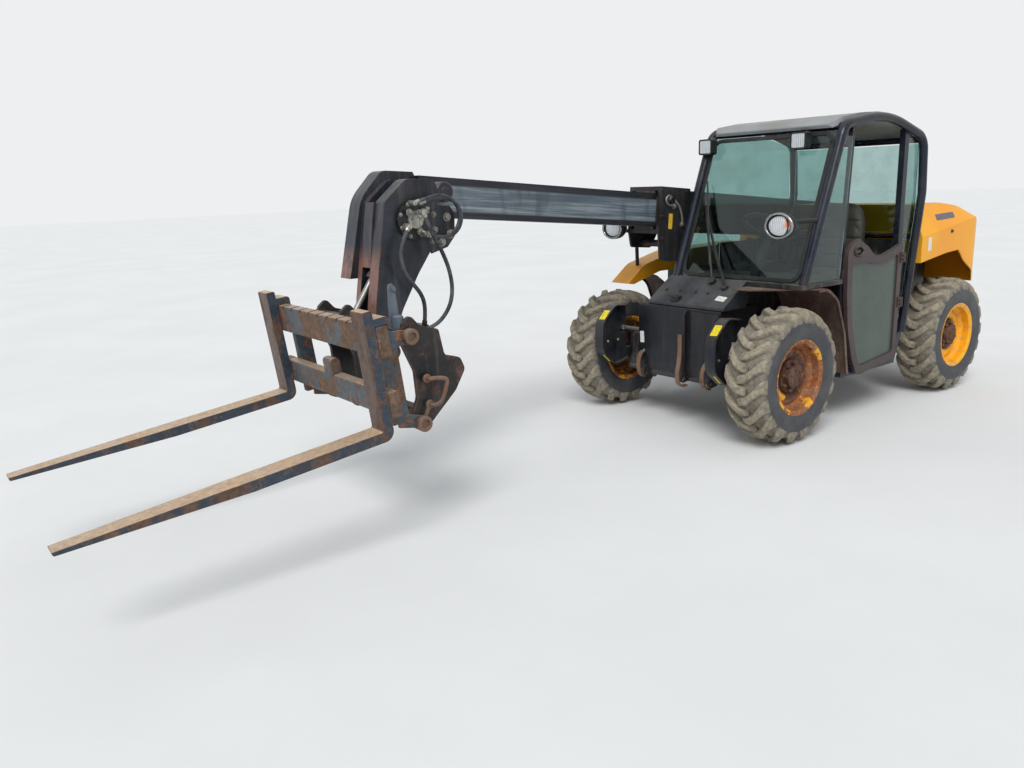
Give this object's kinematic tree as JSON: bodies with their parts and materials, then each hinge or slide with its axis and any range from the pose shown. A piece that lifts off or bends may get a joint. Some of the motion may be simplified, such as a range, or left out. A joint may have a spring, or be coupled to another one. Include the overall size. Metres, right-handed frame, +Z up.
{
  "type": "compact telehandler",
  "caption": "Compact telescopic handler with an offset two-stage boom, gooseneck nose, pallet forks, open-sided cab and four steered wheels.",
  "frame": {"origin": "on the ground, under the middle of the bounding box", "axes": "+X forward towards the fork tips, +Y to the driver's left, +Z up"},
  "size_m": [6.0248, 1.56, 1.7972],
  "materials": {
    "tyre_rubber": "matte, muddy",
    "rim_brown": "rusty",
    "rim_yellow": "worn",
    "chassis_black": "satin, dusty",
    "body_yellow": "gloss, worn",
    "cab_black": "satin",
    "boom_grey": "streaked",
    "boom_black": "satin",
    "glass": "clear",
    "door_panel_grey": "satin",
    "door_frame_rusty": "rusty",
    "seat_fabric": "matte",
    "hose_rubber": "matte",
    "bare_steel": "worn bright",
    "chrome_rod": "polished",
    "roof_grey": "dusty",
    "lamp_plastic": "gloss",
    "plastic_black": "matte",
    "pad_plastic": "matte"
  },
  "bodies": {
    "chassis": {"chassis_rails": "chassis_black", "front_box": "chassis_black", "front_axle_beam": "chassis_black", "rear_axle_beam": "chassis_black", "engine_block": "chassis_black", "rear_bonnet": "body_yellow", "right_rear_wing": "body_yellow", "rear_panel": "chassis_black", "boom_tower": "boom_black", "side_pod_case": "chassis_black", "side_pod_hood": "body_yellow", "front_mudguards": "plastic_black", "cab_frame": "cab_black", "cab_floor_pan": "cab_black", "cab_lower_walls": "cab_black", "cab_roof": "roof_grey", "windscreen": "glass", "cab_glass": "glass", "cowl_deck": "cab_black", "seat_mount": "plastic_black", "seat_cushion": "seat_fabric", "steering_column": "plastic_black", "console": "plastic_black", "lamps": "lamp_plastic", "wiper": "plastic_black"},
    "front_left_knuckle": {"front_left_knuckle": "chassis_black"},
    "front_left_wheel": {"front_left_rim": "rim_brown", "front_left_tyre": "tyre_rubber"},
    "front_right_knuckle": {"front_right_knuckle": "chassis_black"},
    "front_right_wheel": {"front_right_rim": "rim_brown", "front_right_tyre": "tyre_rubber"},
    "front_steering_rod": {"front_steering_rod": "chrome_rod"},
    "rear_left_knuckle": {"rear_left_knuckle": "chassis_black"},
    "rear_left_wheel": {"rear_left_rim": "rim_yellow", "rear_left_tyre": "tyre_rubber"},
    "rear_right_knuckle": {"rear_right_knuckle": "chassis_black"},
    "rear_right_wheel": {"rear_right_rim": "rim_yellow", "rear_right_tyre": "tyre_rubber"},
    "rear_steering_rod": {"rear_steering_rod": "chrome_rod"},
    "door": {"door_frame": "door_frame_rusty", "door_panel": "door_panel_grey"},
    "outer_boom": {"outer_boom": "boom_black", "boom_wear_pads": "pad_plastic"},
    "inner_boom": {"inner_boom": "boom_grey", "boom_nose": "boom_black", "hose_fittings": "bare_steel", "nose_hose_long_front": "hose_rubber", "nose_hose_long_rear": "hose_rubber", "nose_hose_short_inner": "hose_rubber", "nose_hose_short_outer": "hose_rubber"},
    "carriage": {"carriage_frame": "boom_black", "fork_frame": "boom_grey", "forks": "bare_steel", "locking_handle": "bare_steel"},
    "lift_cylinder_barrel": {"lift_cylinder_barrel": "boom_black"},
    "lift_cylinder_rod": {"lift_cylinder_rod": "chrome_rod"},
    "tilt_cylinder_barrel": {"tilt_cylinder_barrel": "boom_black"},
    "tilt_cylinder_rod": {"tilt_cylinder_rod": "chrome_rod"}
  },
  "joints": [
    {"name": "front_left_steer", "type": "hinge", "parent": "chassis", "child": "front_left_knuckle", "pos_m": [-0.6224, 0.48, 0.38], "axis": [0, 0, 1], "range_deg": [-25, 25]},
    {"name": "front_left_wheel_spin", "type": "hinge", "parent": "front_left_knuckle", "child": "front_left_wheel", "pos_m": [-0.6224, 0.648, 0.38], "axis": [0, 1, 0], "continuous": true},
    {"name": "front_right_steer", "type": "hinge", "parent": "chassis", "child": "front_right_knuckle", "pos_m": [-0.6224, -0.48, 0.38], "axis": [0, 0, 1], "range_deg": [-25, 25]},
    {"name": "front_right_wheel_spin", "type": "hinge", "parent": "front_right_knuckle", "child": "front_right_wheel", "pos_m": [-0.6224, -0.648, 0.38], "axis": [0, 1, 0], "continuous": true},
    {"name": "front_rod_slide", "type": "slide", "parent": "chassis", "child": "front_steering_rod", "axis": [0, 1, 0], "range_m": [-0.05, 0.05]},
    {"name": "rear_left_steer", "type": "hinge", "parent": "chassis", "child": "rear_left_knuckle", "pos_m": [-2.3924, 0.48, 0.38], "axis": [0, 0, 1], "range_deg": [-25, 25]},
    {"name": "rear_left_wheel_spin", "type": "hinge", "parent": "rear_left_knuckle", "child": "rear_left_wheel", "pos_m": [-2.3924, 0.648, 0.38], "axis": [0, 1, 0], "continuous": true},
    {"name": "rear_right_steer", "type": "hinge", "parent": "chassis", "child": "rear_right_knuckle", "pos_m": [-2.3924, -0.48, 0.38], "axis": [0, 0, 1], "range_deg": [-25, 25]},
    {"name": "rear_right_wheel_spin", "type": "hinge", "parent": "rear_right_knuckle", "child": "rear_right_wheel", "pos_m": [-2.3924, -0.648, 0.38], "axis": [0, 1, 0], "continuous": true},
    {"name": "rear_rod_slide", "type": "slide", "parent": "chassis", "child": "rear_steering_rod", "axis": [0, 1, 0], "range_m": [-0.05, 0.05]},
    {"name": "door_hinge", "type": "hinge", "parent": "chassis", "child": "door", "pos_m": [-1.7324, 0.715, 0.65], "axis": [0, 0, 1], "range_deg": [0, 100]},
    {"name": "boom_lift", "type": "hinge", "parent": "chassis", "child": "outer_boom", "pos_m": [-2.6924, -0.4, 1.1], "axis": [0, -1, 0], "range_deg": [-6.5, 55]},
    {"name": "boom_extend", "type": "slide", "parent": "outer_boom", "child": "inner_boom", "axis": [0.9963, 0, 0.0854], "range_m": [-1.3, 0.1]},
    {"name": "carriage_tilt", "type": "hinge", "parent": "inner_boom", "child": "carriage", "pos_m": [1.4126, -0.2425, 0.672], "axis": [0, 1, 0], "range_deg": [-25, 85]},
    {"name": "lift_barrel_swing", "type": "hinge", "parent": "chassis", "child": "lift_cylinder_barrel", "pos_m": [-1.6924, -0.4, 0.45], "axis": [0, -1, 0], "range_deg": [-21.05, 2.93]},
    {"name": "lift_rod_slide", "type": "slide", "parent": "lift_cylinder_barrel", "child": "lift_cylinder_rod", "axis": [-0.7791, 0, 0.6269], "range_m": [-0.042, 0.319]},
    {"name": "tilt_barrel_swing", "type": "hinge", "parent": "inner_boom", "child": "tilt_cylinder_barrel", "pos_m": [1.1276, -0.265, 1.43], "axis": [0, 1, 0], "range_deg": [-0.5, 0.5]},
    {"name": "tilt_rod_slide", "type": "slide", "parent": "tilt_cylinder_barrel", "child": "tilt_cylinder_rod", "axis": [0.5705, 0, -0.8213], "range_m": [-0.088, 0.29]}
  ],
  "couplings": [
    {"joint": "front_right_steer", "follows": "front_left_steer", "ratio": 1},
    {"joint": "front_rod_slide", "follows": "front_left_steer", "m_per_rad": 0.11},
    {"joint": "rear_right_steer", "follows": "rear_left_steer", "ratio": 1},
    {"joint": "rear_rod_slide", "follows": "rear_left_steer", "m_per_rad": -0.11},
    {"joint": "lift_barrel_swing", "follows": "boom_lift", "ratio": -0.37366},
    {"joint": "lift_rod_slide", "follows": "boom_lift", "m_per_rad": 0.3277},
    {"joint": "tilt_barrel_swing", "follows": "carriage_tilt", "ratio": -0.00001},
    {"joint": "tilt_rod_slide", "follows": "carriage_tilt", "m_per_rad": 0.19243}
  ]
}
